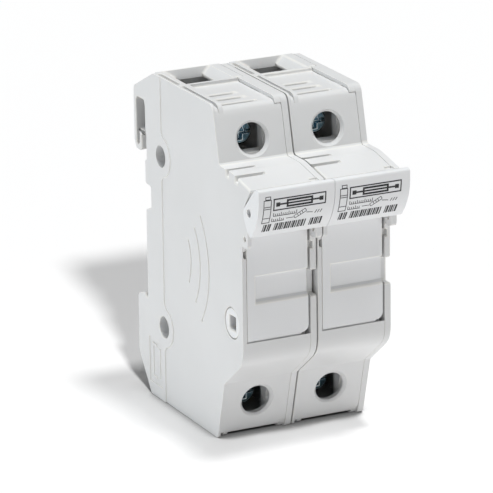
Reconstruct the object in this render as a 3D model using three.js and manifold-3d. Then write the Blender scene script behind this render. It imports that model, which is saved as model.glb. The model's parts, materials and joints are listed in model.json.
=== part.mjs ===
// Two-pole modular fuse holder: two identical poles side by side, each a shell and a cover around a
// swing-out carrier with a cartridge fuse, two pairs of contact jaws and two box-clamp terminals.
//
// Millimetres, +Z up. The front (the handles) faces -Y and the rail side faces +Y. Lengths along Y are
// measured from the flat of the nose and heights from the underside; the finished group is then moved so
// that its origin lies at the middle of the underside.

import * as THREE from 'three';
import { mergeVertices } from 'three/addons/utils/BufferGeometryUtils.js';
import { ConvexGeometry } from 'three/addons/geometries/ConvexGeometry.js';
import Module from 'manifold-3d';

const wasm = await Module();
wasm.setup();

// ---------------------------------------------------------------- driving dimensions

const POLES = 2;
const PITCH = 17.5; // one standard module
const POLE_WIDTH = 17.4; // leaves a hairline seam between poles
const HEIGHT = 73.1;
const HOOK_BACK = 51.65; // rearmost face of the rail hook
const HANDLE_FRONT = -8.7; // foremost face of the handle
const RAIL_SEAT = 46.4; // plane that rests on the rail

const WALL = 1.2; // left side wall
const COVER_WALL = 1.4;
const SKIN = 1.4; // top, bottom and front walls
const SEAM = 0.06; // between shell and cover
const RIM = 0.8; // how far the rims stand above the terminal tops
const RIM_WIDTH = 0.85;
const LIP = { left: 14.6, foot: 71.6, back: 30.8, gap: 0.1 }; // the cover's lip over the end of the shell
const COVER_IN = POLE_WIDTH - COVER_WALL; // inner face of the cover
const SHELL_OUT = COVER_IN - SEAM; // open edge of the shell
const AXIS_X = 8.5; // middle of the fuse, screws and clamps in each pole
const FAR = 40; // well past any face that is cut open

const SUNK = { y: 38.3, depth: 0.25, bulge: 4.55 }; // the left side, in front of a line round the rivets
const PIVOT = { y: 5.26, z: 27.93, disc: 3.3, hole: 3.45, socket: 3.0 };
const SILL = 6.1; // radius about the pivot that the nose leaves free
const RIVET = {
  y: 38.5,
  upperZ: 55.55,
  lowerZ: 17.2,
  shank: 1.5,
  hole: 1.7,
  head: 2.15,
  recess: 2.39,
  deep: 3.0,
  boss: 3.3,
};
const TIE = { y: -3.9, z: 54.3, r: 0.75, hole: 0.9 };

const UPPER_FACE = { foot: [10.15, 60.85], head: [12.35, 70.0] }; // leaning front of the upper terminal block
const LOWER_FACE = { foot: [9.3, 13.2], head: [12.05, 3.1] };
const SCREW = { z: 65.2, head: 17.2, shankStart: 20.0, tip: 30.2, headR: 2.9, shankR: 2.5, access: 3.27 };
const CAGE = {
  front: 25.4,
  back: 39.1,
  wall: 1.4,
  halfX: 5.0,
  sideWall: 1.1,
  bottom: 61.2,
  top: 69.2,
  hole: 2.65,
};
const HOLE = { lip: 0.72, flare: 1.2, relief: 3.85, deep: 1.7 }; // edge of a screwdriver hole
const GUIDE = { half: 3.4, wall: 1.2, floor: 61.8, top: 69.0, back: 16.3 }; // walls beside a screw's way
const FUNNEL = { front: 30.9, back: 42.2, left: 2.6, right: 13.7 };
const THROAT = { front: 31.9, back: 41.5, half: 3.2, z: 71.4 };
const CREST = 29.8; // front of the raised bar before the wire funnel
const RIDGE_LEFT = 1.6; // the ridge runs from here to the left edge of the funnel

const FUSE = { y: 10.4, bottom: 18.6, length: 38.0, r: 5.15, cap: 9.6, tubeR: 4.75, boreR: 3.6 };
const JAW = { gap: 0.2, thick: 0.7, springThick: 0.5 };
const STRIP = { thick: 1.2, half: 3.4 };
const CARRIER = { left: 1.35, right: 15.55, front: 0.1, wall: 1.5, bottom: 25.3, top: 45.0, back: 17.0 };

// ---------------------------------------------------------------- solids

/** A length on a grid of a ten-thousandth of a millimetre, so that level faces are exactly level. */
const onGrid = (length) => Math.round(length * 1e4) / 1e4;

/** A three.js geometry as a solid that can be joined and cut. */
function solid(geometry) {
  const plain = geometry.index ? geometry.toNonIndexed() : geometry.clone();
  plain.deleteAttribute('normal');
  plain.deleteAttribute('uv');
  const merged = mergeVertices(plain, 1e-4);
  const vertProperties = new Float32Array(merged.attributes.position.array).map(onGrid);
  const triVerts = new Uint32Array(merged.index.array);
  return new wasm.Manifold(new wasm.Mesh({ numProp: 3, vertProperties, triVerts }));
}

/** The three.js geometry of a finished solid. */
function geometryOf(body) {
  const mesh = body.getMesh();
  const geometry = new THREE.BufferGeometry();
  geometry.setAttribute('position', new THREE.BufferAttribute(new Float32Array(mesh.vertProperties), 3));
  geometry.setIndex(new THREE.BufferAttribute(new Uint32Array(mesh.triVerts), 1));
  geometry.computeVertexNormals();
  return geometry;
}

const join = (...bodies) => bodies.reduce((whole, body) => whole.add(body));
const cut = (body, ...tools) => tools.reduce((whole, tool) => whole.subtract(tool), body);

/** A block between two opposite corners. */
function block([x0, x1], [y0, y1], [z0, z1]) {
  const box = new THREE.BoxGeometry(x1 - x0, y1 - y0, z1 - z0);
  box.translate((x0 + x1) / 2, (y0 + y1) / 2, (z0 + z1) / 2);
  return solid(box);
}

/** A side-view outline (y, z) pulled along X. */
function alongX(shape, x0, x1, curveSegments = 4) {
  const slab = new THREE.ExtrudeGeometry(shape, { depth: x1 - x0, bevelEnabled: false, curveSegments });
  const sideView = new THREE.Matrix4().makeBasis(
    new THREE.Vector3(0, 1, 0),
    new THREE.Vector3(0, 0, 1),
    new THREE.Vector3(1, 0, 0),
  );
  slab.applyMatrix4(sideView);
  slab.translate(x0, 0, 0);
  return solid(slab);
}

/** A plan-view outline (x, y) pulled up from z0 to z1. */
function alongZ(shape, z0, z1) {
  const slab = new THREE.ExtrudeGeometry(shape, { depth: z1 - z0, bevelEnabled: false });
  slab.translate(0, 0, z0);
  return solid(slab);
}

/** A round bar along X. */
function barX(y, z, r, x0, x1, sides = 32) {
  const bar = new THREE.CylinderGeometry(r, r, x1 - x0, sides);
  bar.rotateZ(Math.PI / 2);
  bar.translate((x0 + x1) / 2, y, z);
  return solid(bar);
}

/** A round bar along Y. */
function barY(x, z, r, y0, y1, sides = 32) {
  const bar = new THREE.CylinderGeometry(r, r, y1 - y0, sides);
  bar.translate(x, (y0 + y1) / 2, z);
  return solid(bar);
}

/** A profile of [radius, height] pairs turned about the Y axis at (x, z). */
function turnedY(profile, x, z, sides = 20) {
  const points = profile.map(([r, h]) => new THREE.Vector2(r, h));
  const body = new THREE.LatheGeometry(points, sides);
  body.translate(x, 0, z);
  return solid(body);
}

/** The same body upside down, about the middle height of the holder. */
function upsideDown(body) {
  const flipped = geometryOf(body).toNonIndexed();
  flipped.applyMatrix4(new THREE.Matrix4().makeScale(1, 1, -1));
  flipped.translate(0, 0, HEIGHT);
  const p = flipped.attributes.position;
  for (let i = 0; i < p.count; i += 3) {
    const second = [p.getX(i + 1), p.getY(i + 1), p.getZ(i + 1)];
    p.setXYZ(i + 1, p.getX(i + 2), p.getY(i + 2), p.getZ(i + 2));
    p.setXYZ(i + 2, ...second);
  }
  return solid(flipped);
}

/** A body and its upside-down twin, joined. */
const bothEnds = (body) => join(body, upsideDown(body));

// ---------------------------------------------------------------- outlines

/** A closed outline whose corners are [u, v, radius]; a small radius is a plain chamfer. */
function rounded(corners) {
  const points = [];
  const count = corners.length;
  corners.forEach(([u, v, radius = 0], i) => {
    const corner = new THREE.Vector2(u, v);
    const before = new THREE.Vector2(...corners[(i + count - 1) % count]).sub(corner);
    const after = new THREE.Vector2(...corners[(i + 1) % count]).sub(corner);
    const reach = radius / Math.tan(Math.abs(before.angleTo(after)) / 2);
    const start = before.setLength(reach).add(corner);
    const end = after.setLength(reach).add(corner);
    const steps = Math.min(6, Math.ceil(radius * 1.6));
    if (radius === 0) points.push(corner);
    else points.push(...new THREE.QuadraticBezierCurve(start, corner, end).getPoints(steps));
  });
  return new THREE.Shape(points);
}

/** The outline of a strip of even thickness that follows a bent centre line. */
function strip(path, thickness) {
  const points = path.map(([u, v]) => new THREE.Vector2(u, v));
  const edge = (side) => points.map((point, i) => {
    const entered = Math.max(i, 1);
    const left = Math.min(i, points.length - 2);
    const into = points[entered].clone().sub(points[entered - 1]).normalize();
    const out = points[left + 1].clone().sub(points[left]).normalize();
    const along = into.clone().add(out).normalize();
    const reach = (side * thickness) / 2 / into.dot(along);
    return new THREE.Vector2(point.x - along.y * reach, point.y + along.x * reach);
  });
  return new THREE.Shape([...edge(1), ...edge(-1).reverse()]);
}

/** The rear of a pole: lower rail lug, rail seat with its relief and the springy hook for the rail. */
function rearCorners() {
  const hookLow = 54.4;
  const hookTop = 66.0;
  return [
    [45.6, 0, 0.4],
    [51.6, 8.4, 1.5],
    [51.5, 21.4, 0.6],
    [47.6, 22.6, 0.2],
    [47.4, 21.8],
    [RAIL_SEAT, 21.8],
    [RAIL_SEAT, 41.8, 0.4],
    [43.8, 42.6, 0.4],
    [43.8, 47.4, 0.3],
    [RAIL_SEAT, 47.6, 0.3],
    [RAIL_SEAT, 52.6, 0.3],
    [45.6, 53.2, 0.3],
    [45.6, 58.6, 0.2],
    [46.0, 60.0, 0.2],
    [46.0, hookTop, 1.2],
    [50.8, hookTop, 0.5],
    [50.7, 55.5, 0.3],
    [49.3, 55.5, 0.3],
    [49.3, 59.3, 0.2],
    [46.3, 59.3, 0.2],
    [46.3, 58.1, 0.2],
    [48.3, 58.1, 0.2],
    [48.3, hookLow, 0.4],
    [50.9, hookLow, 1.0],
    [HOOK_BACK, 56.4, 0.8],
    [HOOK_BACK, 68.2, 1.2],
  ];
}

/** The nose from the lower terminal block to the shoulder, with the seal lug and the handle's cheek. */
function noseCorners() {
  return [
    [...LOWER_FACE.foot, 0.6],
    [0, 20.5, 6.0],
    [0, 46.1, 0.1],
    [-2.75, 46.1, 0.9],
    [-2.75, 50.2, 0.3],
    [-0.5, 53.9, 3.0],
    [-4.4, 59.1, 0.3],
    [4.5, 60.85, 9.0],
    [...UPPER_FACE.foot, 0.5],
  ];
}

/** The side view of a pole, with its terminal blocks `low` shorter than the rims at both ends. */
function sideView(low) {
  const top = HEIGHT - low;
  const step = 41.0;
  return rounded([
    [12.9, low, 0.9],
    LOWER_FACE.head,
    ...noseCorners(),
    UPPER_FACE.head,
    [13.1, top, 2.0],
    ...(low > 0 ? [[step, top], [step, HEIGHT]] : []),
    [41.7, HEIGHT, 0.4],
    ...rearCorners().reverse(),
    ...(low > 0 ? [[step, 0], [step, low]] : []),
  ]);
}

/** The room inside a pole, open at the front above the sill of the nose. */
function cavityView() {
  const floor = RIM + SKIN;
  const ceiling = HEIGHT - floor;
  const back = 42.3;
  const sillTop = 24.94;
  const underShoulder = 58.9;
  const shape = new THREE.Shape();
  shape.moveTo(-FAR, sillTop);
  shape.lineTo(PIVOT.y - Math.sqrt(SILL ** 2 - (PIVOT.z - sillTop) ** 2), sillTop);
  shape.absarc(PIVOT.y, PIVOT.z, SILL, Math.PI + 0.512, Math.PI + 0.894, false);
  shape.lineTo(SKIN, 21.3);
  shape.lineTo(3.3, 19.8);
  shape.lineTo(10.6, 14.2);
  shape.lineTo(14.2, floor);
  shape.lineTo(44.6, floor);
  shape.lineTo(50.1, 9.2);
  shape.lineTo(50.0, 20.0);
  shape.lineTo(back, 21.5);
  shape.lineTo(back, 65.5);
  shape.lineTo(back - 0.6, ceiling);
  shape.lineTo(14.2, ceiling);
  shape.lineTo(11.7, 60.6);
  shape.lineTo(11.4, underShoulder);
  shape.lineTo(4.0, underShoulder);
  shape.lineTo(-3.0, 58.0);
  shape.lineTo(-FAR, 52.0);
  shape.closePath();
  return shape;
}

// ---------------------------------------------------------------- shell and cover

/** The room that a wire and a screwdriver need at the upper terminal. */
function terminalCuts() {
  const { front, back, left, right } = FUNNEL;
  const throatX = [AXIS_X - THROAT.half, AXIS_X + THROAT.half];
  const throatY = [THROAT.front, THROAT.back];
  const mouth = [[left, front], [right, front], [right, back], [left, back]];
  const throat = throatX.flatMap((x) => throatY.map((y) => [x, y]));
  const funnel = solid(new ConvexGeometry([
    ...mouth.map(([x, y]) => new THREE.Vector3(x, y, HEIGHT + 0.01)),
    ...throat.map(([x, y]) => new THREE.Vector3(x, y, THROAT.z)),
  ]));
  const wireWay = block(throatX, throatY, [HEIGHT - RIM - SKIN - 1, THROAT.z + 0.1]);
  const screwWay = barY(AXIS_X, SCREW.z, SCREW.access, 8, 17);
  return join(funnel, wireWay, screwWay, ventSlots());
}

/** A shape turned about Y, set on the leaning face between `foot` and `head` at the screwdriver hole. */
function squareToFace(geometry, { foot, head }) {
  const lean = Math.atan2(head[0] - foot[0], head[1] - foot[1]);
  const faceY = foot[0] + (SCREW.z - foot[1]) * Math.tan(lean);
  geometry.rotateX(-lean);
  geometry.translate(AXIS_X, faceY, SCREW.z);
  return solid(geometry);
}

/** The chamfer round an upper screwdriver hole and the wider room behind its thin lip. */
function holeRim(face) {
  const { lip, flare, relief, deep } = HOLE;
  const inner = SCREW.access + 0.05;
  const chamfer = new THREE.CylinderGeometry(inner, inner + flare, flare, 32);
  const room = new THREE.CylinderGeometry(relief, relief, deep, 32);
  room.translate(0, lip + deep / 2, 0);
  return join(squareToFace(chamfer, face), squareToFace(room, face));
}

/** Cuts a slot along X whose right end runs out in a ramp between its floor and its top. */
function slotCutter([left, right], y, width, [floor, top]) {
  const ramp = 1.3;
  const shape = new THREE.Shape([
    [left, floor],
    [right - ramp, floor],
    [right, top],
    [right, top + 1],
    [left, top + 1],
  ].map(([x, z]) => new THREE.Vector2(x, z)));
  const slot = new THREE.ExtrudeGeometry(shape, { depth: width, bevelEnabled: false });
  slot.rotateX(Math.PI / 2);
  slot.translate(0, y + width / 2, 0);
  return solid(slot);
}

/** Three vents across the top of a terminal block. */
function ventSlots() {
  const slots = [[22.4, 10.2], [18.7, 10.4], [14.9, 11.4]];
  const width = 1.05;
  const depths = [HEIGHT - RIM - SKIN - 0.5, HEIGHT - RIM];
  return join(...slots.map(([y, right]) => slotCutter([FUNNEL.left, right], y, width, depths)));
}

/** The trough between the upper screwdriver hole and the screw head. */
function screwGuide() {
  const { half, wall, floor, top, back } = GUIDE;
  const fromSkin = new THREE.Shape([
    [11.0, floor - wall],
    [13.3, top],
    [back, top],
    [back, floor - wall],
  ].map(([y, z]) => new THREE.Vector2(y, z)));
  const trough = alongX(fromSkin, AXIS_X - half - wall, AXIS_X + half + wall);
  return cut(trough, block([AXIS_X - half, AXIS_X + half], [8, back + 1], [floor, top + 1]));
}

/** The upper terminal block's raised parts: crest, funnel surround and the ridge beside the rim. */
function terminalTop() {
  const surround = block([RIM_WIDTH, SHELL_OUT], [CREST, 42.4], [HEIGHT - RIM - SKIN, HEIGHT]);
  const ridgeView = rounded([
    [13.6, 70.5],
    [12.6, 70.3],
    [12.9, HEIGHT, 2.1],
    [CREST + 1, HEIGHT],
    [CREST + 1, 71],
    [15, 71],
  ]);
  const ridge = alongX(ridgeView, RIDGE_LEFT, FUNNEL.left);
  const groove = block([RIM_WIDTH, RIDGE_LEFT], [CREST + 1.4, 41.6], [HEIGHT - RIM, HEIGHT + 1]);
  return cut(join(surround, ridge), groove);
}

/** Two slots in the shoulder, open at the left side face. */
function shoulderSlots() {
  const width = 1.1;
  const slots = [[6.4, 6.8, [59.4, 60.75]], [2.3, 7.0, [59.15, 60.35]]];
  return join(...slots.map(([y, right, depths]) => slotCutter([-1, right], y, width, depths)));
}

/** A tiny pocket in the front edge of the shoulder, across the seam between shell and cover. */
const shoulderPocket = () => block([14.35, 16.3], [-4.0, -2.7], [58.95, 61]);

/** The part of the left side that lies a little lower, in front of a line that bulges round the rivets. */
function sunkenSide() {
  const { y, depth, bulge } = SUNK;
  const fillet = 1.4;
  const third = Math.PI / 3;
  const shape = new THREE.Shape();
  shape.moveTo(-FAR, -1);
  shape.lineTo(y, -1);
  [RIVET.lowerZ, RIVET.upperZ].forEach((z) => {
    const nearY = RIVET.y - bulge * Math.cos(third);
    const reach = bulge * Math.sin(third);
    shape.lineTo(y, z - bulge - fillet);
    shape.quadraticCurveTo(y, z - bulge, nearY, z - reach);
    shape.absarc(RIVET.y, z, bulge, Math.PI + third, Math.PI - third, true);
    shape.quadraticCurveTo(y, z + bulge, y, z + bulge + fillet);
  });
  shape.lineTo(y, HEIGHT + 1);
  shape.lineTo(-FAR, HEIGHT + 1);
  shape.closePath();
  return alongX(shape, -1, depth, 4);
}

/** Three concentric grooves in the left side. */
function sideArcs() {
  const centre = [34.9, 35.7];
  const steps = 8;
  const width = 0.45;
  const depth = 0.25;
  const arcs = [[10.2, 0.48], [14.7, 0.6], [19.0, 0.66]];
  return join(...arcs.map(([radius, half]) => {
    const path = Array.from({ length: steps + 1 }, (_, i) => {
      const angle = Math.PI + half * (1 - (2 * i) / steps);
      return [centre[0] + radius * Math.cos(angle), centre[1] + radius * Math.sin(angle)];
    });
    return alongX(strip(path, width), -1, SUNK.depth + depth);
  }));
}

/** A shallow panel low on the left side with a raised gauge for how far to strip a wire. */
function stripGauge() {
  const depth = 0.25;
  const panel = block([-1, depth], [39.7, 46.2], [2.9, 13.1]);
  const spine = block([-1, depth], [44.2, 44.8], [4.0, 12.0]);
  const ticks = [4.0, 11.4].map((z) => block([-1, depth], [42.7, 44.5], [z, z + 0.6]));
  const wire = block([-1, depth], [40.9, 41.8], [4.6, 11.4]);
  return cut(panel, spine, ...ticks, wire);
}

/** What passes through both side walls: the two rivets and the carrier's pivot disc. */
function sideHoles(rivetRadius) {
  return join(
    barX(PIVOT.y, PIVOT.z, PIVOT.hole, -1, POLE_WIDTH + 1, 28),
    barX(RIVET.y, RIVET.upperZ, rivetRadius, -1, POLE_WIDTH + 1, 24),
    barX(RIVET.y, RIVET.lowerZ, rivetRadius, -1, POLE_WIDTH + 1, 24),
  );
}

/** The small hole of the seal lug. */
const sealHole = () => barX(-1.35, 48.0, 0.6, -1, POLE_WIDTH + 1, 10);

function shell() {
  const wall = alongX(sideView(0), 0, RIM_WIDTH);
  const core = alongX(sideView(RIM), RIM_WIDTH, SHELL_OUT);
  const room = alongX(cavityView(), WALL, SHELL_OUT + 1);
  const atRivets = (radius, x0, x1, sides) => join(
    ...[RIVET.upperZ, RIVET.lowerZ].map((z) => barX(RIVET.y, z, radius, x0, x1, sides)),
  );
  const bosses = atRivets(RIVET.boss, 0.5, SHELL_OUT, 20);
  const shelf = block([0.5, 14.5], [22.5, 42.6], [57.0, 58.2]);
  const lipSeat = alongX(rounded([
    [8, LIP.foot - LIP.gap],
    [8, HEIGHT + 1],
    [LIP.back + LIP.gap, HEIGHT + 1],
    [LIP.back + LIP.gap, HEIGHT - RIM - LIP.gap],
    [15.1, HEIGHT - RIM - LIP.gap, 1.0],
    [14.2, LIP.foot - LIP.gap],
  ]), LIP.left - LIP.gap, SHELL_OUT + 1);
  const body = join(
    cut(join(wall, core), room),
    bosses,
    bothEnds(join(terminalTop(), shelf, screwGuide())),
  );
  return cut(
    body,
    bothEnds(terminalCuts()),
    holeRim(UPPER_FACE),
    upsideDown(holeRim({
      foot: [LOWER_FACE.foot[0], HEIGHT - LOWER_FACE.foot[1]],
      head: [LOWER_FACE.head[0], HEIGHT - LOWER_FACE.head[1]],
    })),
    bothEnds(cut(lipSeat, snapPad())),
    atRivets(RIVET.recess, -1, RIVET.deep, 24),
    sideHoles(RIVET.hole),
    sunkenSide(),
    sideArcs(),
    stripGauge(),
    shoulderSlots(),
    shoulderPocket(),
    sealHole(),
    detent(WALL - 0.6, WALL + 1),
  );
}

/** The little notch beside the carrier that its detent bump drops into. */
const detent = (x0, x1) => block([x0, x1], [-1, 1.2], [43.3, 44.9]);

/** The place where the lip rests on the shell without a gap. */
const snapPad = () => block([LIP.left - 1, LIP.left + 1], [16.4, 19.8], [HEIGHT - 4, HEIGHT - RIM]);

/** The lip that closes over one end of the shell. */
function coverLip() {
  const lipView = rounded([
    [12.9, LIP.foot],
    [13.3, HEIGHT, 1.7],
    [LIP.back, HEIGHT, 0.2],
    [LIP.back, HEIGHT - RIM, 0.1],
    [15.0, HEIGHT - RIM, 1.0],
    [14.1, LIP.foot],
  ]);
  return alongX(lipView, LIP.left, COVER_IN + 0.1);
}

function cover() {
  const plate = alongX(sideView(0), COVER_IN, POLE_WIDTH);
  const windowNotch = block([COVER_IN - 1, POLE_WIDTH + 1], [-1, 1.9], [33.1, 38.5]);
  return cut(
    join(plate, bothEnds(coverLip())),
    windowNotch,
    sideHoles(RIVET.recess),
    shoulderPocket(),
    sealHole(),
    detent(COVER_IN - 1, COVER_IN + 0.6),
  );
}

// ---------------------------------------------------------------- carrier

/** The handle's side view: flat cheek, curved front and the slope that faces the shoulder. */
function handleView() {
  const shape = new THREE.Shape();
  shape.moveTo(-3.15, 50.1);
  shape.lineTo(-1.9, 52.2);
  shape.quadraticCurveTo(-0.95, 53.9, -2.0, 55.1);
  shape.lineTo(-6.6, 59.75);
  shape.quadraticCurveTo(-6.9, 60.1, -7.3, 60.15);
  shape.lineTo(-8.1, 60.2);
  shape.quadraticCurveTo(HANDLE_FRONT, 60.2, HANDLE_FRONT, 59.6);
  shape.lineTo(HANDLE_FRONT, 57.6);
  shape.quadraticCurveTo(-8.4, 53.2, -5.0, 49.45);
  shape.quadraticCurveTo(-4.7, 49.1, -4.3, 49.35);
  shape.closePath();
  return shape;
}

/** The hollow behind the handle's front. */
function handleHollow() {
  return rounded([
    [4, 50.9],
    [-3.9, 50.9, 0.5],
    [-7.2, 55.2, 1.0],
    [-7.2, 58.0, 0.3],
    [-1.4, 53.6, 0.3],
    [4, 53.6],
  ]);
}

/** A carrier side wall: rounded about the pivot below, square to the fuse above. */
function cheekView() {
  const { front, bottom, top, back } = CARRIER;
  const skirt = Math.hypot(PIVOT.y - front, PIVOT.z - bottom);
  const skirtStart = Math.PI + Math.atan2(PIVOT.z - bottom, PIVOT.y - front);
  const shape = new THREE.Shape();
  shape.moveTo(front, top);
  shape.lineTo(front, bottom);
  shape.absarc(PIVOT.y, PIVOT.z, skirt, skirtStart, Math.PI * 1.62, false);
  shape.lineTo(11.0, 26.0);
  shape.lineTo(back, 30.5);
  shape.lineTo(back, top);
  shape.closePath();
  return shape;
}

function carrier() {
  const { left, right, front, wall, bottom, top, back } = CARRIER;
  const [outerSides, innerSides] = [[left - 1, right + 1], [left + wall, right - wall]];
  const behindPlate = front + wall;
  const cheeks = alongX(cheekView(), left, right, 8);
  const plate = block([left, right], [front, behindPlate], [bottom + 3, 50]);
  const handle = alongX(handleView(), 0, POLE_WIDTH, 7);
  const neck = block([left, right], [-3.4, behindPlate], [49.5, 55.0]);
  const neckSlope = alongX(new THREE.Shape([
    new THREE.Vector2(-9, 66),
    new THREE.Vector2(3, 66),
    new THREE.Vector2(3, 54.4),
    new THREE.Vector2(-1.2, 54.4),
  ]), -1, POLE_WIDTH + 1);
  const discs = barX(PIVOT.y, PIVOT.z, PIVOT.disc, SUNK.depth + 0.1, POLE_WIDTH - 0.1, 28);
  const frame = cut(
    join(cheeks, plate, cut(neck, neckSlope), discs),
    block(innerSides, [behindPlate, back - 1.1], [20, 60]),
    barAlongZ(AXIS_X, FUSE.y, FUSE.r + 0.35, 20, 60),
    block(innerSides, [12, back + 1], [34.5, 41.5]),
    block(outerSides, [behindPlate, back + 1], [top, 49]),
    block(innerSides, [4.6, back + 1], [20, 31]),
  );
  return cut(
    join(frame, handle),
    alongX(handleHollow(), ...innerSides),
    pivotBar([-1, POLE_WIDTH + 1], PIVOT.socket / 2),
    barX(TIE.y, TIE.z, TIE.hole, -1, POLE_WIDTH + 1, 16),
    windowRecess(),
    cornerRounding(),
  );
}

/** A square bar on the carrier's pivot axis. */
const pivotBar = (across, half) => block(
  across,
  [PIVOT.y - half, PIVOT.y + half],
  [PIVOT.z - half, PIVOT.z + half],
);

/** A round bar along Z. */
function barAlongZ(x, y, r, z0, z1, sides = 28) {
  const bar = new THREE.CylinderGeometry(r, r, z1 - z0, sides);
  bar.rotateX(Math.PI / 2);
  bar.translate(x, y, (z0 + z1) / 2);
  return solid(bar);
}

/** The shallow window recess, which runs out at the carrier's right edge and slopes at its foot. */
function windowRecess() {
  return alongX(rounded([
    [-1, 39.0],
    [0.9, 39.0, 0.1],
    [0.9, 33.9, 0.2],
    [CARRIER.front, 33.2],
    [-1, 33.2],
  ]), 3.4, CARRIER.right + 1);
}

/** Takes the sharp lower right corner off the carrier's front. */
function cornerRounding() {
  const r = 1.6;
  const corner = new THREE.Shape();
  corner.moveTo(CARRIER.right - r, CARRIER.bottom);
  corner.absarc(CARRIER.right - r, CARRIER.bottom + r, r, -Math.PI / 2, 0, false);
  corner.lineTo(CARRIER.right + 1, CARRIER.bottom + r);
  corner.lineTo(CARRIER.right + 1, 20);
  corner.lineTo(CARRIER.right - r, 20);
  corner.closePath();
  const wedge = new THREE.ExtrudeGeometry(corner, { depth: 2.2, bevelEnabled: false, curveSegments: 5 });
  wedge.rotateX(Math.PI / 2);
  wedge.translate(0, 1.7, 0);
  return solid(wedge);
}

// ---------------------------------------------------------------- fuse

function fuseTube() {
  const { bottom, length, tubeR, boreR } = FUSE;
  const inset = 1.0;
  const outer = barAlongZ(AXIS_X, FUSE.y, tubeR, bottom + inset, bottom + length - inset, 24);
  return cut(outer, barAlongZ(AXIS_X, FUSE.y, boreR, bottom - 1, bottom + length + 1, 16));
}

/** A fuse cap whose closed end faces up or down. */
function fuseCap(upper) {
  const { bottom, length, r, cap, tubeR } = FUSE;
  const edge = 0.5;
  const wallR = tubeR + 0.1;
  const profile = [
    [0, 0],
    [r - edge, 0],
    [r, edge],
    [r, cap],
    [wallR, cap],
    [wallR, 0.8],
    [0, 0.8],
  ].map(([radius, height]) => new THREE.Vector2(radius, height));
  const body = new THREE.LatheGeometry(profile, 32);
  body.rotateX(upper ? -Math.PI / 2 : Math.PI / 2);
  body.translate(AXIS_X, FUSE.y, upper ? bottom + length : bottom);
  return solid(body);
}

// ---------------------------------------------------------------- contacts and terminals

/** A pair of jaw plates with flared lips, seen from above, open to the front. */
function jawPlan(inner, thick, front, back) {
  const flare = 0.25;
  const side = (s) => [
    [AXIS_X + s * (inner + flare), front],
    [AXIS_X + s * inner, front + 1.6],
  ];
  const outerSide = (s) => [
    [AXIS_X + s * (inner + thick + flare), front],
    [AXIS_X + s * (inner + thick), front + 1.6],
  ];
  const [leftLip, leftIn] = side(-1);
  const [rightLip, rightIn] = side(1);
  const [leftOutLip, leftOut] = outerSide(-1);
  const [rightOutLip, rightOut] = outerSide(1);
  return new THREE.Shape([
    leftLip, leftIn, [leftIn[0], back], [rightIn[0], back], rightIn, rightLip,
    rightOutLip, rightOut, [rightOut[0], back + thick], [leftOut[0], back + thick], leftOut, leftOutLip,
  ].map(([x, y]) => new THREE.Vector2(x, y)));
}

function upperContact() {
  const inner = FUSE.r + JAW.gap;
  const jaws = alongZ(jawPlan(inner, JAW.thick, 6.6, 15.9), 50.2, 56.4);
  const tongue = alongX(
    strip([[16.2, 53.0], [20.6, 53.0], [20.6, 59.8], [31.1, 59.8], [31.1, 68.4]], STRIP.thick),
    AXIS_X - STRIP.half,
    AXIS_X + STRIP.half,
  );
  return join(jaws, tongue);
}

function upperJawSpring() {
  const inner = FUSE.r + JAW.gap + JAW.thick + 0.15;
  return alongZ(jawPlan(inner, JAW.springThick, 8.6, 16.8), 54.0, 56.2);
}

/** The lower jaws stand beside the fuse cap and are open to the rear, where the cap swings out. */
function lowerContact() {
  const inner = FUSE.r + JAW.gap;
  const outer = inner + JAW.thick;
  const webLow = 17.2;
  const webHigh = 18.2;
  const plateView = rounded([
    [6.4, 18.1],
    [8.6, webLow],
    [15.2, webLow],
    [15.2, 21.5, 0.5],
    [6.4, 21.5, 0.5],
  ]);
  const plates = join(
    alongX(plateView, AXIS_X - outer, AXIS_X - inner),
    alongX(plateView, AXIS_X + inner, AXIS_X + outer),
  );
  const web = block([AXIS_X - outer, AXIS_X + outer], [8.8, 15.2], [webLow, webHigh]);
  const lowTongueZ = HEIGHT - 59.8;
  const path = [[14.8, 17.7], [16.4, 17.7], [19.4, lowTongueZ], [31.1, lowTongueZ], [31.1, HEIGHT - 68.4]];
  const tongue = alongX(strip(path, STRIP.thick), AXIS_X - STRIP.half, AXIS_X + STRIP.half);
  return join(plates, web, tongue);
}

function lowerJawSpring() {
  const inner = FUSE.r + JAW.gap + JAW.thick + 0.15;
  const outer = inner + JAW.springThick;
  const low = 16.5;
  const shape = new THREE.Shape([
    [AXIS_X - outer, 20.9], [AXIS_X - outer, low], [AXIS_X + outer, low], [AXIS_X + outer, 20.9],
    [AXIS_X + inner, 20.9], [AXIS_X + inner, low + 0.5], [AXIS_X - inner, low + 0.5], [AXIS_X - inner, 20.9],
  ].map(([x, z]) => new THREE.Vector2(x, z)));
  const clip = new THREE.ExtrudeGeometry(shape, { depth: 3.0, bevelEnabled: false });
  clip.rotateX(Math.PI / 2);
  clip.translate(0, 13.2, 0);
  return solid(clip);
}

function clampCage() {
  const { front, back, wall, halfX, sideWall, bottom, top, hole } = CAGE;
  const outer = block([AXIS_X - halfX, AXIS_X + halfX], [front, back], [bottom, top]);
  const wireWindow = block(
    [AXIS_X - halfX + sideWall, AXIS_X + halfX - sideWall],
    [front + wall + 0.2, back - wall],
    [bottom - 1, top + 1],
  );
  return cut(outer, wireWindow, barY(AXIS_X, SCREW.z, hole, front - 1, front + wall + 1, 20));
}

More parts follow.
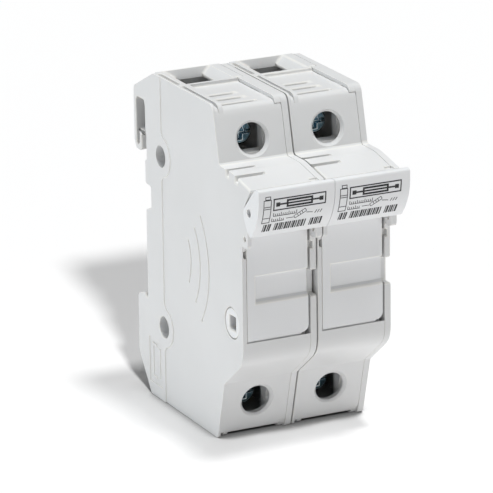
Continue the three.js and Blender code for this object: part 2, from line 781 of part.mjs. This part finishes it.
/** A clamp screw along Y with a slot and a cross in its head. */
function clampScrew() {
  const { z, head, shankStart, tip, headR, shankR } = SCREW;
  const slotHalf = 0.45;
  const slotDepth = 0.9;
  const crossHalf = 0.55;
  const crossArm = 1.75;
  const crossDepth = 1.6;
  const body = turnedY([
    [0, head],
    [headR - 0.5, head],
    [headR, head + 0.5],
    [headR, shankStart],
    [shankR, shankStart],
    [shankR, tip - 0.6],
    [shankR - 0.5, tip],
    [0, tip],
  ], AXIS_X, z);
  const inHead = (halfX, depth, halfZ) => block(
    [AXIS_X - halfX, AXIS_X + halfX],
    [head - 1, head + depth],
    [z - halfZ, z + halfZ],
  );
  return cut(
    body,
    inHead(headR + 1, slotDepth, slotHalf),
    inHead(crossArm, crossDepth, crossHalf),
    inHead(crossHalf, crossDepth, crossArm),
  );
}

// ---------------------------------------------------------------- pieces shared by the poles

/** The left face of a pole, counted from 0. */
const poleLeft = (index) => (index - POLES / 2) * PITCH + (PITCH - POLE_WIDTH) / 2;

/** A long rivet through every pole, with a pressed head in the recess at each end. */
function longRivet(z) {
  const first = poleLeft(0) + RIVET.deep;
  const last = poleLeft(POLES - 1) + SHELL_OUT;
  const headThick = 0.9;
  const gap = 0.1;
  const left = first - gap;
  const right = last + gap;
  const points = [
    [0, left - headThick],
    [RIVET.head - 0.5, left - headThick],
    [RIVET.head, left - 0.4],
    [RIVET.head, left],
    [RIVET.shank, left],
    [RIVET.shank, right],
    [RIVET.head, right],
    [RIVET.head, right + 0.4],
    [RIVET.head - 0.5, right + headThick],
    [0, right + headThick],
  ].map(([r, x]) => new THREE.Vector2(r, x));
  const body = new THREE.LatheGeometry(points, 24);
  body.rotateZ(-Math.PI / 2);
  body.translate(0, RIVET.y, z);
  return solid(body);
}

/** The square bar that makes the two carriers swing as one. */
function couplingBar() {
  const clearance = 0.1;
  const left = poleLeft(0) + CARRIER.right - CARRIER.wall + clearance;
  const right = poleLeft(1) + CARRIER.left + CARRIER.wall - clearance;
  return pivotBar([left, right], PIVOT.socket / 2 - clearance);
}

function tieRod() {
  const inset = 1.2;
  return barX(TIE.y, TIE.z, TIE.r, poleLeft(0) + inset, poleLeft(POLES - 1) + POLE_WIDTH - inset, 16);
}

// ---------------------------------------------------------------- assembly

const LOOKS = {
  housing: { color: '#e4e7e9', roughness: 0.42, metalness: 0 },
  drawer: { color: '#dfe0e6', roughness: 0.4, metalness: 0 },
  ceramic: { color: '#e9e4d6', roughness: 0.55, metalness: 0 },
  plated: { color: '#c9ccd0', roughness: 0.25, metalness: 1 },
  zinc: { color: '#8fa0b4', roughness: 0.3, metalness: 1 },
  steel: { color: '#b4b8bc', roughness: 0.35, metalness: 1 },
};

function piece(name, body, look) {
  const mesh = new THREE.Mesh(geometryOf(body), new THREE.MeshStandardMaterial(LOOKS[look]));
  mesh.name = name;
  return mesh;
}

const holder = new THREE.Group();
holder.position.y = -(HOOK_BACK + HANDLE_FRONT) / 2;

const POLE_PIECES = [
  ['shell', shell(), 'housing'],
  ['cover', cover(), 'housing'],
  ['carrier', carrier(), 'drawer'],
  ['fuse_tube', fuseTube(), 'ceramic'],
  ['fuse_cap_upper', fuseCap(true), 'plated'],
  ['fuse_cap_lower', fuseCap(false), 'plated'],
  ['contact_upper', upperContact(), 'plated'],
  ['contact_lower', lowerContact(), 'plated'],
  ['jaw_spring_upper', upperJawSpring(), 'steel'],
  ['jaw_spring_lower', lowerJawSpring(), 'steel'],
  ['clamp_cage_upper', clampCage(), 'zinc'],
  ['clamp_cage_lower', upsideDown(clampCage()), 'zinc'],
  ['clamp_screw_upper', clampScrew(), 'zinc'],
  ['clamp_screw_lower', upsideDown(clampScrew()), 'zinc'],
];

for (let index = 0; index < POLES; index += 1) {
  const pole = new THREE.Group();
  pole.position.x = poleLeft(index);
  POLE_PIECES.forEach(([name, body, look]) => pole.add(piece(`${name}_${index + 1}`, body, look)));
  holder.add(pole);
}

holder.add(piece('rivet_upper', longRivet(RIVET.upperZ), 'steel'));
holder.add(piece('rivet_lower', longRivet(RIVET.lowerZ), 'steel'));
holder.add(piece('coupling_bar', couplingBar(), 'steel'));
holder.add(piece('tie_rod', tieRod(), 'steel'));

export default holder;
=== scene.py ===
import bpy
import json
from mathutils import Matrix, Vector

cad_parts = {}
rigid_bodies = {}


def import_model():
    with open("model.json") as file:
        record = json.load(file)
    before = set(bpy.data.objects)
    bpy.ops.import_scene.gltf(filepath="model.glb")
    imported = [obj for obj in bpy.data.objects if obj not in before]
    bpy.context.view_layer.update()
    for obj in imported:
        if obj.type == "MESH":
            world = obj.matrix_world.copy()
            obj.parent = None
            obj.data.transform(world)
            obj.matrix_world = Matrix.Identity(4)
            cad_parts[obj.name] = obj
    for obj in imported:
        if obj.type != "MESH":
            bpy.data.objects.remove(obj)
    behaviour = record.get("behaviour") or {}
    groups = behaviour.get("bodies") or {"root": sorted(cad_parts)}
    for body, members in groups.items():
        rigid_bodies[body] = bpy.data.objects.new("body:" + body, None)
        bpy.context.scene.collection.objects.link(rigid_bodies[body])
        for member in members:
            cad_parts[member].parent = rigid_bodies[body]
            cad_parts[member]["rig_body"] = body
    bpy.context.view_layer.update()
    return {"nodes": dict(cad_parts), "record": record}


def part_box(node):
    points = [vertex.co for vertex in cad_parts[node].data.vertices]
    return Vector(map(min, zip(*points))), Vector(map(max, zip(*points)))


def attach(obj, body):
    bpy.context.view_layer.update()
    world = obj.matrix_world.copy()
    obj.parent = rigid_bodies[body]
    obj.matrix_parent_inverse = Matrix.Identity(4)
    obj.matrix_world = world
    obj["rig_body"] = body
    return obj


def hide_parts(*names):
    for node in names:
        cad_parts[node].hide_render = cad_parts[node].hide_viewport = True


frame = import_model()

import json
import math

import bmesh
import bpy
from mathutils import Matrix, Vector
from mathutils.bvhtree import BVHTree

MM = 0.001
BODY_OF = {name: node["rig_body"] for name, node in frame["nodes"].items()}
SLOT_OF = {row["node"]: row["material_slot"] for row in frame["record"]["subparts"]}
POLES = {1: "left", 2: "right"}


# ---------------------------------------------------------------- materials

class Shader:
    """A material made of nodes, with short ways to add them."""

    def __init__(self, name, **constants):
        self.material = bpy.data.materials.new(name)
        self.material.use_nodes = True
        self.nodes = self.material.node_tree.nodes
        self.links = self.material.node_tree.links
        self.surface = self.nodes["Principled BSDF"]
        for socket, value in constants.items():
            self.surface.inputs[socket.replace("_", " ")].default_value = value
        self.place = self.nodes.new("ShaderNodeTexCoord").outputs["Object"]

    def node(self, kind, settings=None, **sockets):
        made = self.nodes.new("ShaderNode" + kind)
        for key, value in (settings or {}).items():
            setattr(made, key, value)
        for socket, value in sockets.items():
            self.feed(made.inputs[socket.replace("_", " ")], value)
        return made

    def feed(self, socket, value):
        if isinstance(value, bpy.types.NodeSocket):
            self.links.new(value, socket)
        else:
            socket.default_value = value

    def stretched(self, scale):
        return self.node("Mapping", Vector=self.place, Scale=scale).outputs["Vector"]

    def noise(self, scale, detail=3.0, roughness=0.5, stretch=(1, 1, 1)):
        where = self.stretched(stretch)
        made = self.node("TexNoise", Vector=where, Scale=scale, Detail=detail, Roughness=roughness)
        return made.outputs["Fac"]

    def ramp(self, factor, *stops):
        made = self.node("ValToRGB", Fac=factor)
        ramp = made.color_ramp
        while len(ramp.elements) < len(stops):
            ramp.elements.new(0.5)
        for element, (position, colour) in zip(ramp.elements, stops):
            element.position = position
            element.color = (*colour, 1.0) if len(colour) == 3 else colour
        return made.outputs["Color"]

    def between(self, factor, low, high):
        made = self.node("MapRange", Value=factor)
        made.inputs["To Min"].default_value = low
        made.inputs["To Max"].default_value = high
        return made.outputs["Result"]

    def mixed(self, factor, a, b, blend="MIX"):
        made = self.node("Mix", {"data_type": "RGBA", "blend_type": blend}, Factor=factor)
        self.feed(made.inputs[6], a)
        self.feed(made.inputs[7], b)
        return made.outputs[2]

    def attribute(self, name):
        return self.node("Attribute", {"attribute_name": name}).outputs["Fac"]

    def bumps(self, *layers):
        """Layers of (height, strength, depth in millimetres), laid one on the other."""
        normal = None
        for height, strength, depth in layers:
            made = self.node("Bump", Height=height, Strength=strength, Distance=depth * MM)
            if normal is not None:
                self.links.new(normal, made.inputs["Normal"])
            normal = made.outputs["Normal"]
        self.links.new(normal, self.surface.inputs["Normal"])

    def set(self, socket, value):
        self.feed(self.surface.inputs[socket], value)


def grey(value, warm=0.0):
    return (value + warm, value + warm * 0.4, value - warm)


def moulded_plastic(name, tone, warm, gloss):
    """White moulded plastic: a cloudy tone, a fine eroded texture, paler edges that are a painted highlight
    and a soft sheen.
    """
    made = Shader(
        name,
        IOR=1.5,
        Subsurface_Weight=0.06,
        Subsurface_Radius=(1.0, 0.85, 0.7),
        Subsurface_Scale=0.0006,
        Coat_Weight=0.08,
        Coat_Roughness=0.25,
    )
    cloud = made.noise(55, 2.0)
    flow = made.noise(160, 4.0, 0.6, (1, 1, 0.25))
    grain = made.noise(5200, 2.0, 0.6)
    dust = made.noise(900, 5.0, 0.7)
    base = made.ramp(cloud, (0.35, grey(tone - 0.012, warm)), (0.65, grey(tone + 0.012, warm)))
    streaked = made.mixed(made.between(flow, 0.0, 0.10), base, (*grey(tone - 0.03, warm), 1))
    specks = made.ramp(dust, (0.70, (0, 0, 0)), (0.80, (1, 1, 1)))
    dusty = made.mixed(specks, streaked, (*grey(tone - 0.035, 0.012), 1))
    # The bevel faces are painted paler and warmer: a painted highlight along the rounded edges.
    edge_highlighted = made.mixed(made.attribute("edge"), dusty, (*grey(tone + 0.045, 0.018), 1))
    made.set("Base Color", edge_highlighted)
    smear = made.noise(240, 3.0, 0.55)
    made.set("Roughness", made.between(smear, gloss - 0.06, gloss + 0.08))
    made.bumps((grain, 0.10, 0.012), (made.noise(330, 2.0), 0.10, 0.06))
    return made.material


def plated_metal(name, colour, roughness, scratch=(1, 1, 1), tint=None, edge_glint=None):
    """Plated metal with drawn scratches, cloudy tarnish and edges painted brighter as a highlight."""
    made = Shader(name, Metallic=1.0)
    drawn = made.noise(2600, 6.0, 0.7, scratch)
    cloud = made.noise(420, 4.0, 0.6)
    dark = tuple(c * 0.72 for c in colour)
    other = tint or tuple(min(1.0, c * 1.06) for c in colour)
    base = made.ramp(cloud, (0.30, dark), (0.52, colour), (0.72, other))
    lined = made.mixed(made.between(drawn, 0.0, 0.35), base, (*dark, 1))
    # The bevel faces are painted brighter: a painted highlight that stands in for glints on the edges.
    edge_glint = edge_glint or tuple(min(1.0, c * 1.25) for c in colour)
    made.set("Base Color", made.mixed(made.attribute("edge"), lined, (*edge_glint, 1)))
    made.set("Roughness", made.between(made.noise(900, 4.0, 0.6), roughness - 0.08, roughness + 0.14))
    made.bumps((drawn, 0.25, 0.01), (made.noise(700, 3.0), 0.15, 0.03))
    return made.material


def ceramic(name):
    """Off-white tube with a fine matt grain and a faint fibre weave."""
    made = Shader(
        name,
        IOR=1.5,
        Subsurface_Weight=0.04,
        Subsurface_Radius=(1, 0.9, 0.8),
        Subsurface_Scale=0.0005,
    )
    weave = made.noise(1500, 4.0, 0.6, (1, 1, 0.3))
    tone = made.ramp(made.noise(210, 3.0), (0.35, (0.70, 0.66, 0.57)), (0.65, (0.77, 0.74, 0.66)))
    made.set("Base Color", made.mixed(made.between(weave, 0.0, 0.3), tone, (0.62, 0.58, 0.49, 1)))
    made.set("Roughness", made.between(weave, 0.45, 0.7))
    made.bumps((weave, 0.2, 0.02))
    return made.material


def printing_ink(name):
    """Black pad-printed ink, a little thin in places."""
    made = Shader(name, IOR=1.45)
    thin = made.ramp(made.noise(2600, 4.0, 0.7), (0.55, (0.012, 0.012, 0.014)), (0.78, (0.10, 0.10, 0.105)))
    made.set("Base Color", thin)
    made.set("Roughness", made.between(made.noise(1500), 0.35, 0.55))
    made.bumps((made.noise(4000), 0.1, 0.005))
    return made.material


LOOKS = {
    "housing": moulded_plastic("white_plastic", 0.735, 0.001, 0.40),
    # A cooler copy of the white plastic, painted paler to make up for the shade the carriers sit in under the
    # handles.
    "drawer": moulded_plastic("white_plastic_drawer_brightened", 0.83, -0.006, 0.36),
    "fuse_body": ceramic("fuse_tube_matt"),
    "plated_copper": plated_metal("silver_plating", (0.80, 0.79, 0.76), 0.26, (1, 1, 0.15)),
    # The last colour is near white: painted glints on the edges of the screws.
    "zinc_steel": plated_metal(
        "blue_zinc", (0.24, 0.40, 0.50), 0.18, (1, 0.2, 1), (0.42, 0.60, 0.68), (0.86, 0.93, 0.95)
    ),
    "bare_steel": plated_metal("bright_steel", (0.60, 0.61, 0.62), 0.30, (0.15, 1, 1)),
}
CAGE_ZINC = plated_metal("clear_zinc", (0.66, 0.67, 0.67), 0.42, (1, 1, 0.2))
INK = printing_ink("black_print")


# ---------------------------------------------------------------- meshes

def new_object(name, mesh, material):
    mesh.materials.clear()
    mesh.materials.append(material)
    made = bpy.data.objects.new(name, mesh)
    bpy.context.scene.collection.objects.link(made)
    return made


def evaluated(obj):
    """The object's mesh with its modifiers applied."""
    graph = bpy.context.evaluated_depsgraph_get()
    graph.update()
    return bpy.data.meshes.new_from_object(obj.evaluated_get(graph))


def mesh_of(node):
    """A CAD node's mesh, opened for editing."""
    bm = bmesh.new()
    bm.from_mesh(frame["nodes"][node].data)
    return bm


def welded(node):
    """A CAD node's mesh with its corners welded and its flat faces made whole."""
    bm = mesh_of(node)
    bmesh.ops.remove_doubles(bm, verts=bm.verts, dist=0.012 * MM)
    bmesh.ops.dissolve_limit(bm, angle_limit=math.radians(1.0), verts=bm.verts, edges=bm.edges)
    return bm


def surface_of(node):
    """A CAD node's surface, for rays and for finding the nearest point on it."""
    bm = mesh_of(node)
    tree = BVHTree.FromBMesh(bm)
    bm.free()
    return tree


def free_room(bm, reach):
    """For each edge, how far the nearest corner that faces it lies across one of its faces, up to `reach`."""
    room = {edge: reach for edge in bm.edges}
    for face in bm.faces:
        for loop in face.loops:
            start, end = loop.vert, loop.link_loop_next.vert
            along = end.co - start.co
            length = along.length
            along.normalize()
            for other in face.loops:
                if other.vert in (start, end):
                    continue
                away = other.vert.co - start.co
                if (away - along * max(0.0, min(length, away.dot(along)))).length > reach:
                    continue
                if -0.02 * length < away.dot(along) < 1.02 * length:
                    gap = (away - along * away.dot(along)).length
                    for edge in (loop.edge, other.edge, other.link_loop_prev.edge):
                        room[edge] = min(room[edge], gap)
    return room


def runs_of(edges, bend=math.radians(40)):
    """Groups of edges that run on from one another without a sharp turn."""
    left = set(edges)
    while left:
        run, todo = [], [left.pop()]
        while todo:
            edge = todo.pop()
            run.append(edge)
            for corner in edge.verts:
                along = corner.co - edge.other_vert(corner).co
                for other in corner.link_edges:
                    if other in left and along.angle(other.other_vert(corner).co - corner.co) < bend:
                        left.discard(other)
                        todo.append(other)
        yield run


def weigh_edges(bm, width, sharp, seams=()):
    """Bevel weights of the edges sharper than that, even along each run and no wider than the room there."""
    share_of_room = 0.42
    on_plane = 0.03 * MM
    layer = bm.edges.layers.float.new("bevel_weight_edge")
    room = free_room(bm, 2.5 * width)
    sharp_edges = [edge for edge in bm.edges if len(edge.link_faces) == 2 and edge.calc_face_angle(0) > sharp]
    for run in runs_of(sharp_edges):
        half = min(share_of_room * room[edge] for edge in run)
        for seam, most in seams:
            if any(all(abs(corner.co.x - seam) < on_plane for corner in edge.verts) for edge in run):
                half = min(half, most)
        for edge in run:
            edge[layer] = min(1.0, half / width)


def finished(mesh, smooth=math.radians(32)):
    """Marks the corners of the bevel's own faces, which the materials paint paler as a highlight, and smooths
    all but the sharp edges.
    """
    # This mark is where the materials paint their edge highlight.
    mark = mesh.attributes.new("edge", "FLOAT", "CORNER")
    values = [0.0] * len(mesh.loops)
    for face in mesh.polygons:
        if face.material_index == 1:
            for index in face.loop_indices:
                values[index] = 1.0
        face.material_index = 0
        face.use_smooth = True
    mark.data.foreach_set("value", values)
    mesh.set_sharp_from_angle(angle=smooth)


def softened(bm, width, segments, seams, surface, sharp=math.radians(28)):
    """A mesh with its sharp edges rounded off by that many millimetres, kept near its CAD surface."""
    weigh_edges(bm, width * MM, sharp, seams)
    rough = bpy.data.meshes.new("rough")
    bm.to_mesh(rough)
    bm.free()
    for _ in ("flat faces", "bevel faces"):
        rough.materials.append(None)
    holder = bpy.data.objects.new("rough", rough)
    bpy.context.scene.collection.objects.link(holder)
    bevel = holder.modifiers.new("bevel", "BEVEL")
    bevel.width = width * MM
    bevel.segments = segments
    bevel.limit_method = "WEIGHT"
    bevel.use_clamp_overlap = False
    bevel.loop_slide = False
    bevel.material = 1
    mesh = evaluated(holder)
    bpy.data.objects.remove(holder)
    keep_near(mesh, surface, 0.5 * width * MM)
    finished(mesh)
    return mesh


def keep_near(mesh, surface, reach):
    """Brings back any corner that the bevel has carried off the surface it started from."""
    for corner in mesh.vertices:
        nearest, _, _, distance = surface.find_nearest(corner.co)
        if distance > reach:
            corner.co = nearest


def settle(name, mesh, node, material=None):
    """Puts a finished mesh in the scene in place of a CAD node."""
    made = new_object(name, mesh, material or LOOKS[SLOT_OF[node]])
    normals = made.modifiers.new("normals", "WEIGHTED_NORMAL")
    normals.keep_sharp = True
    normals.weight = 80
    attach(made, BODY_OF[node])
    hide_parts(node)
    return made


def refined(name, node, width, segments=2, seams=(), material=None):
    mesh = softened(welded(node), width, segments, seams, surface_of(node))
    return settle(name, mesh, node, material)


# ---------------------------------------------------------------- the poles

SOFT_EDGES = {
    "shell": 0.5,
    "cover": 0.5,
    "carrier": 0.4,
    "contact_upper": 0.12,
    "contact_lower": 0.12,
    "jaw_spring_upper": 0.08,
    "jaw_spring_lower": 0.08,
    "clamp_cage_upper": 0.25,
    "clamp_cage_lower": 0.25,
    "clamp_screw_upper": 0.12,
    "clamp_screw_lower": 0.12,
    "fuse_tube": 0.15,
    "fuse_cap_upper": 0.2,
    "fuse_cap_lower": 0.2,
}

MOULDED = ("shell", "cover", "carrier")


def seam_faces(number):
    """Planes across X where edges stay crisp: between shell and cover, and between the poles."""
    shell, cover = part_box(f"shell_{number}"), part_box(f"cover_{number}")
    gap, hairline, soft = 0.06 * MM, 0.07 * MM, 0.20 * MM
    open_edge = shell[1][0]
    facing = cover[1][0] if number == 1 else shell[0][0]
    return [(open_edge, hairline), (open_edge + gap, hairline), (facing, soft)]


for number, side in POLES.items():
    for part, width in SOFT_EDGES.items():
        seams = seam_faces(number) if part in ("shell", "cover") else ()
        material = CAGE_ZINC if part.startswith("clamp_cage") else None
        refined(f"{part}_{side}", f"{part}_{number}", width, 3 if part in MOULDED else 2, seams, material)

refined("rivet_top", "rivet_upper", 0.1)
refined("rivet_bottom", "rivet_lower", 0.1)
refined("link_bar", "coupling_bar", 0.2)
refined("handle_pin", "tie_rod", 0.1)


# ---------------------------------------------------------------- generic print on the handles

class HandlePrint:
    """Strokes of ink on a handle's front, in millimetres from the pole's left face and the floor."""

    film = 0.03
    raised = 0.02

    def __init__(self, carrier, left):
        self.left = left
        self.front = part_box(carrier)[0][1] - 5 * MM
        self.surface = surface_of(carrier)
        self.bm = bmesh.new()

    def on_handle(self, x, z):
        start = Vector((self.left + x * MM, self.front, z * MM))
        place, normal, _, _ = self.surface.ray_cast(start, Vector((0, 1, 0)))
        return self.bm.verts.new(place + normal * self.raised * MM)

    def stroke(self, start, end, width):
        """One straight stroke, cut into short pieces so that it follows the curve of the handle."""
        start, end = Vector(start), Vector(end)
        across = (end - start).orthogonal().normalized() * width / 2
        piece = 0.35
        steps = max(1, math.ceil((end - start).length / piece))
        last = None
        for step in range(steps + 1):
            middle = start.lerp(end, step / steps)
            pair = [self.on_handle(*(middle + across)), self.on_handle(*(middle - across))]
            if last:
                self.bm.faces.new((last[0], last[1], pair[1], pair[0]))
            last = pair

    def outline(self, left, bottom, right, top, width):
        for z in (bottom, top):
            self.stroke((left - width / 2, z), (right + width / 2, z), width)
        for x in (left, right):
            self.stroke((x, bottom + width / 2), (x, top - width / 2), width)

    def laid(self, name):
        """The strokes as a film of ink with some thickness."""
        bmesh.ops.recalc_face_normals(self.bm, faces=self.bm.faces)
        facing = sum(face.normal.y * face.calc_area() for face in self.bm.faces)
        if facing > 0:
            bmesh.ops.reverse_faces(self.bm, faces=self.bm.faces)
        mesh = bpy.data.meshes.new(name)
        self.bm.to_mesh(mesh)
        self.bm.free()
        made = new_object(name, mesh, INK)
        film = made.modifiers.new("film", "SOLIDIFY")
        film.thickness = self.film * MM
        film.offset = -1
        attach(made, "carriers")


def cartridge_picture(ink):
    """Outline of a cartridge with a narrower cap, beside the frame."""
    left, right, foot, shoulder, top = 1.2, 2.85, 52.9, 58.0, 58.75
    line = 0.15
    ink.outline(left, foot, right, shoulder, line)
    ink.outline(left + 0.4, shoulder + line, right - 0.15, top, line)
    for z in (54.0, 56.1, 56.55):
        ink.stroke((left + line / 2, z), (right - line / 2, z), line)


def fuse_symbol(ink):
    """Standard circuit symbol of a fuse inside a frame."""
    ink.outline(3.5, 55.65, 15.3, 58.05, 0.26)
    middle = 56.85
    ink.outline(6.6, 56.2, 12.2, 57.5, 0.42)
    for start, end in ((4.9, 6.39), (6.81, 11.99), (12.41, 13.9)):
        ink.stroke((start, middle), (end, middle), 0.36)
    for x in (4.45, 14.35):
        ink.stroke((x, middle - 0.45), (x, middle + 0.45), 0.9)


def scale_mark(ink, left, right, z, step=0.44):
    """A line with a tick at each step, every fourth one taller."""
    ink.stroke((left, z), (right, z), 0.13)
    for index in range(int((right - left) / step) + 1):
        x = left + index * step
        ink.stroke((x, z + 0.065), (x, z + (0.8 if index % 4 == 0 else 0.55)), 0.13)


def switch_symbol(ink):
    """A line that runs through a slanted hatched fuse to an open contact."""
    line = 0.13
    a, b = Vector((8.6, 53.35)), Vector((11.0, 54.75))
    along = (b - a).normalized()
    across = along.orthogonal() * 0.36
    ink.stroke((6.7, 53.35), (8.45, 53.35), line)
    for edge in (-across, across):
        ink.stroke(a + edge, b + edge, line)
    for share in (0.0, 0.3, 0.5, 0.7, 1.0):
        place = a.lerp(b, share)
        ink.stroke(place - across * 0.8, place + across * 0.8, line)
    ink.stroke((11.2, 54.1), (12.7, 53.9), line)
    for x in (13.2, 13.8, 14.4):
        ink.stroke((x, 53.6), (x + 0.35, 54.3), 0.16)


def stripe_band(ink):
    """Three groups of plain upright stripes whose widths and gaps follow a simple cycle."""
    widths = (0.16, 0.40, 0.24, 0.32)
    gaps = (0.20, 0.26, 0.16)
    for start, end in ((1.8, 3.3), (4.4, 11.6), (12.5, 15.1)):
        x, index = start, 0
        while x < end:
            width = widths[index % len(widths)]
            ink.stroke((x + width / 2, 50.65), (x + width / 2, 52.45), width)
            x += width + gaps[index % len(gaps)]
            index += 1


for number, side in POLES.items():
    handle_print = HandlePrint(f"carrier_{number}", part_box(f"shell_{number}")[0][0])
    cartridge_picture(handle_print)
    fuse_symbol(handle_print)
    scale_mark(handle_print, 3.6, 8.9, 54.25)
    scale_mark(handle_print, 3.4, 6.3, 53.0)
    switch_symbol(handle_print)
    stripe_band(handle_print)
    handle_print.laid(f"print_{side}")


# ---------------------------------------------------------------- studio

def direction(azimuth, elevation):
    """The way to a lamp: azimuth in degrees from the front towards the right, elevation from the floor."""
    a, e = math.radians(azimuth), math.radians(elevation)
    return Vector((math.sin(a) * math.cos(e), -math.cos(a) * math.cos(e), math.sin(e)))


def area_light(name, azimuth, elevation, distance, size, power, colour=(1, 1, 1)):
    """A round soft light that looks at the middle of the object."""
    away = direction(azimuth, elevation)
    data = bpy.data.lights.new(name, "AREA")
    data.shape = "DISK"
    data.size = size
    data.energy = power
    data.color = colour
    lamp = bpy.data.objects.new(name, data)
    lamp.location = Vector((0, 0, 0.035)) + away * distance
    lamp.rotation_mode = "QUATERNION"
    lamp.rotation_quaternion = away.to_track_quat("Z", "Y")
    bpy.context.scene.collection.objects.link(lamp)
    return lamp


def sun_light(name, azimuth, elevation, angle, strength, colour=(1, 1, 1)):
    away = direction(azimuth, elevation)
    data = bpy.data.lights.new(name, "SUN")
    data.angle = math.radians(angle)
    data.energy = strength
    data.color = colour
    lamp = bpy.data.objects.new(name, data)
    lamp.rotation_mode = "QUATERNION"
    lamp.rotation_quaternion = away.to_track_quat("Z", "Y")
    bpy.context.scene.collection.objects.link(lamp)
    return lamp


def only_on(lamp, name, receivers):
    """Lets a lamp light only these objects, while all still cast its shadows."""
    lit = bpy.data.collections.new(name)
    for obj in receivers:
        lit.objects.link(obj)
    lamp.light_linking.receiver_collection = lit


def studio():
    """White paper floor with a contact shadow painted on where the object is near, an even surround and lamps
    that light the floor and the object apart.
    """
    half = 4.0
    mesh = bpy.data.meshes.new("floor")
    corners = [(-half, -half, 0), (half, -half, 0), (half, half, 0), (-half, half, 0)]
    mesh.from_pydata(corners, [], [(0, 1, 2, 3)])
    paper = Shader("white_paper", Roughness=0.9)
    # The floor's colour darkens with ambient occlusion close to the object: a painted contact shadow.
    near = paper.node("AmbientOcclusion", {"samples": 16}, Distance=8 * MM).outputs["AO"]
    painted_contact_shadow = paper.ramp(near, (0.25, grey(0.20)), (0.45, grey(0.27)), (0.64, grey(0.82)), (1.0, grey(0.93)))
    grain = paper.mixed(paper.between(paper.noise(3, 2.0), 0.0, 1.0), (1, 1, 1, 1), (0.985, 0.985, 0.985, 1))
    paper.set("Base Color", paper.mixed(1.0, painted_contact_shadow, grain, "MULTIPLY"))
    paper.surface.inputs["Specular IOR Level"].default_value = 0.0
    floor = new_object("floor", mesh, paper.material)
    floor.location.z = -0.02 * MM

    world = bpy.data.worlds.new("studio")
    world.use_nodes = True
    background = world.node_tree.nodes["Background"]
    background.inputs["Color"].default_value = (0.98, 0.99, 1.0, 1.0)
    background.inputs["Strength"].default_value = 0.18
    bpy.context.scene.world = world

    part = [o for o in bpy.context.scene.objects if o.type == "MESH" and o is not floor]
    floor_lights = [
        sun_light("floor_key", -14, 37, 5, 2.60),
        sun_light("floor_top", 40, 77, 8, 1.30),
    ]
    part_lights = [
        sun_light("top_key", 30, 85, 34, 2.95, (0.98, 0.995, 1.0)),
        area_light("left_softbox", -98, 8, 1.6, 1.1, 11.4, (0.90, 0.965, 1.0)),
        area_light("front_fill", 14, 2, 1.8, 1.2, 3.7, (0.97, 1.0, 0.99)),
    ]
    for lamp in floor_lights:
        only_on(lamp, f"lit_by_{lamp.name}", [floor])
    for lamp in part_lights:
        only_on(lamp, f"lit_by_{lamp.name}", part)
    part_lights[0].visible_glossy = False

    scene = bpy.context.scene
    scene.view_settings.view_transform = "Standard"
    scene.view_settings.look = "None"
    scene.view_settings.exposure = 0.0
    scene.view_settings.gamma = 1.0


def camera():
    """The photograph's camera: angles in degrees, lengths in millimetres, focal length in picture widths."""
    azimuth, elevation, roll = (math.radians(a) for a in (25.948, 17.511, -0.785))
    focal_in_widths = 4198.04 / 493
    aim_right, aim_up, distance = -15.0707, 41.5124, 884.61
    to_frame = Vector((0, -21.475, 0))
    sin_a, cos_a = math.sin(azimuth), math.cos(azimuth)
    sin_e, cos_e = math.sin(elevation), math.cos(elevation)
    right = Vector((cos_a, -sin_a, 0))
    back = Vector((-sin_a * cos_e, -cos_a * cos_e, sin_e))
    up = Vector((sin_a * sin_e, cos_a * sin_e, cos_e))
    turned_right = right * math.cos(roll) + up * math.sin(roll)
    turned_up = up * math.cos(roll) - right * math.sin(roll)
    place = turned_right * aim_right + turned_up * aim_up + back * distance + to_frame
    data = bpy.data.cameras.new("camera")
    data.sensor_width = 36.0
    data.lens = focal_in_widths * data.sensor_width
    data.clip_start = 0.01
    data.clip_end = 20.0
    made = bpy.data.objects.new("camera", data)
    turn = Matrix((turned_right, turned_up, back)).transposed().to_4x4()
    made.matrix_world = Matrix.Translation(place * MM) @ turn
    bpy.context.scene.collection.objects.link(made)
    bpy.context.scene.camera = made


studio()
camera()
